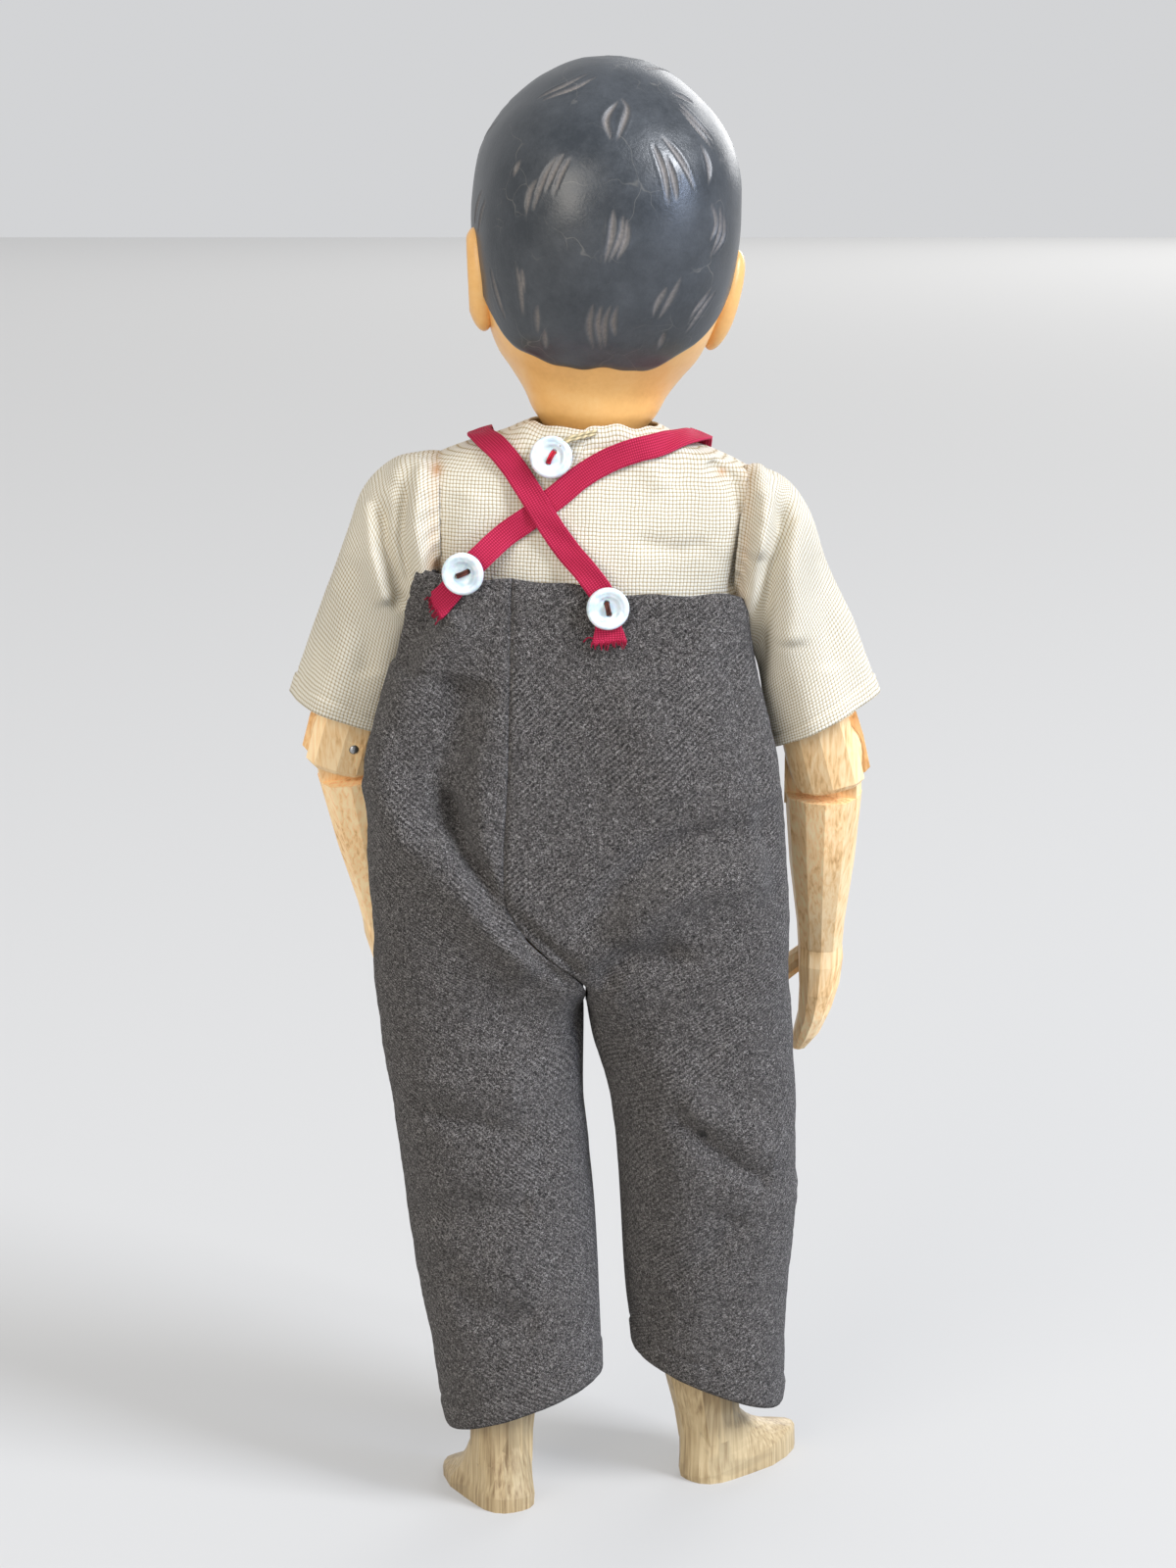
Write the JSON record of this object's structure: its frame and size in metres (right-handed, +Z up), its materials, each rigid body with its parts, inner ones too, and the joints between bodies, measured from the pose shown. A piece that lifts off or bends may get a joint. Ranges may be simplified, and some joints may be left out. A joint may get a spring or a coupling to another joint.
{
  "type": "jointed wooden doll",
  "caption": "Carved wooden doll on elastic stringing, with swivel neck, ball shoulders and hips, pinned elbows and knees, in a linen shirt and wool trousers with tape braces.",
  "frame": {"origin": "on the floor, under the middle of the standing doll's bounding box", "axes": "+Z up along the body; the doll faces -Y and its own left is +X"},
  "size_m": [0.1386, 0.076, 0.345],
  "materials": {
    "linden": "carved linden wood, knife facets left bare and waxed",
    "painted_wood": "carved linden, skin stained and varnished, hair painted gloss black with gouge strokes",
    "steel": "bent steel wire and cut nails",
    "elastic": "round elastic cord",
    "linen": "coarse plain-weave linen",
    "wool": "felted wool twill in mixed dark brown and grey",
    "tape": "woven crimson tape",
    "button_resin": "milky translucent resin, polished",
    "thread": "spun sewing thread"
  },
  "bodies": {
    "torso": {"torso": "linden", "arm_elastic": "elastic", "leg_elastic_left": "elastic", "leg_elastic_right": "elastic", "shirt_body": "linen", "sleeve_left": "linen", "sleeve_right": "linen", "brace_left_shoulder": "tape", "brace_right_shoulder": "tape", "neck_button_loop": "thread", "button_neck": "button_resin", "button_thread_neck": "thread", "button_left_back": "button_resin", "button_thread_left_back": "thread", "button_right_back": "button_resin", "button_thread_right_back": "thread", "button_left_front": "button_resin", "button_thread_left_front": "thread", "button_right_front": "button_resin", "button_thread_right_front": "thread", "trousers_left": "wool", "trousers_right": "wool"},
    "neck_swivel": {"neck_swivel": "steel"},
    "head": {"head": "painted_wood"},
    "shoulder_swivel_left": {"shoulder_swivel_left": "steel"},
    "upper_arm_left": {"upper_arm_left": "linden", "elbow_pin_left": "steel"},
    "forearm_left": {"forearm_left": "linden"},
    "hip_swivel_left": {"hip_swivel_left": "steel"},
    "thigh_left": {"thigh_left": "linden", "knee_pin_left": "steel"},
    "lower_leg_left": {"lower_leg_left": "linden"},
    "shoulder_swivel_right": {"shoulder_swivel_right": "steel"},
    "upper_arm_right": {"upper_arm_right": "linden", "elbow_pin_right": "steel"},
    "forearm_right": {"forearm_right": "linden"},
    "hip_swivel_right": {"hip_swivel_right": "steel"},
    "thigh_right": {"thigh_right": "linden", "knee_pin_right": "steel"},
    "lower_leg_right": {"lower_leg_right": "linden"}
  },
  "joints": [
    {"name": "head_nod", "type": "hinge", "parent": "torso", "child": "neck_swivel", "pos_m": [-0.00218, 0.00133, 0.25663], "axis": [0.9993, 0, 0.0384], "range_deg": [-9, 9], "deforming": ["leg_elastic_left", "leg_elastic_right"]},
    {"name": "head_turn", "type": "hinge", "parent": "neck_swivel", "child": "head", "pos_m": [-0.00218, 0.00133, 0.25663], "axis": [-0.0558, 0, 0.9984], "range_deg": [-100, 100]},
    {"name": "arm_swing_left", "type": "hinge", "parent": "torso", "child": "shoulder_swivel_left", "pos_m": [0.03892, 0.00133, 0.24169], "axis": [-0.9993, 0, -0.0384], "range_deg": [-45, 150], "deforming": ["arm_elastic", "sleeve_left", "trousers_left", "trousers_right"]},
    {"name": "arm_turn_left", "type": "hinge", "parent": "shoulder_swivel_left", "child": "upper_arm_left", "pos_m": [0.03892, 0.00133, 0.24169], "axis": [-0.2916, 0.1928, 0.9369], "range_deg": [-12, 120], "deforming": ["sleeve_left", "trousers_left", "trousers_right"]},
    {"name": "elbow_left", "type": "hinge", "parent": "upper_arm_left", "child": "forearm_left", "pos_m": [0.05618, -0.01008, 0.18623], "axis": [-0.2077, 0.9434, -0.2587], "range_deg": [-25.5, 62], "deforming": ["sleeve_left", "trousers_left", "trousers_right"]},
    {"name": "leg_swing_left", "type": "hinge", "parent": "torso", "child": "hip_swivel_left", "pos_m": [0.01839, 0.00133, 0.13783], "axis": [-0.9993, 0, -0.0384], "range_deg": [-20, 85], "deforming": ["trousers_left", "trousers_right", "leg_elastic_left"]},
    {"name": "leg_turn_left", "type": "hinge", "parent": "hip_swivel_left", "child": "thigh_left", "pos_m": [0.01839, 0.00133, 0.13783], "axis": [0.0139, 0.0697, -0.9975], "range_deg": [-35, 45], "deforming": ["trousers_left", "trousers_right"]},
    {"name": "knee_left", "type": "hinge", "parent": "thigh_left", "child": "lower_leg_left", "pos_m": [0.01931, 0.00593, 0.072], "axis": [0.8732, 0.4851, 0.0461], "range_deg": [0, 90], "deforming": ["trousers_left", "trousers_right"]},
    {"name": "arm_swing_right", "type": "hinge", "parent": "torso", "child": "shoulder_swivel_right", "pos_m": [-0.04202, 0.00133, 0.23859], "axis": [-0.9993, 0, -0.0384], "range_deg": [-45, 150], "deforming": ["arm_elastic", "sleeve_right", "trousers_left", "trousers_right"]},
    {"name": "arm_turn_right", "type": "hinge", "parent": "shoulder_swivel_right", "child": "upper_arm_right", "pos_m": [-0.04202, 0.00133, 0.23859], "axis": [-0.2593, -0.1494, -0.9542], "range_deg": [-12, 120], "deforming": ["sleeve_right", "trousers_left", "trousers_right"]},
    {"name": "elbow_right", "type": "hinge", "parent": "upper_arm_right", "child": "forearm_right", "pos_m": [-0.05737, -0.00752, 0.1821], "axis": [-0.272, -0.9367, 0.2206], "range_deg": [-15, 72], "deforming": ["sleeve_right", "trousers_left", "trousers_right"]},
    {"name": "leg_swing_right", "type": "hinge", "parent": "torso", "child": "hip_swivel_right", "pos_m": [-0.01359, 0.00133, 0.1366], "axis": [-0.9993, 0, -0.0384], "range_deg": [-20, 85], "deforming": ["trousers_left", "trousers_right", "leg_elastic_right"]},
    {"name": "leg_turn_right", "type": "hinge", "parent": "hip_swivel_right", "child": "thigh_right", "pos_m": [-0.01359, 0.00133, 0.1366], "axis": [0.141, 0.0549, 0.9885], "range_deg": [-46, 34], "deforming": ["trousers_left", "trousers_right"]},
    {"name": "knee_right", "type": "hinge", "parent": "thigh_right", "child": "lower_leg_right", "pos_m": [-0.02289, -0.0023, 0.07136], "axis": [0.6736, -0.737, -0.0551], "range_deg": [0, 90], "deforming": ["trousers_left", "trousers_right"]}
  ]
}
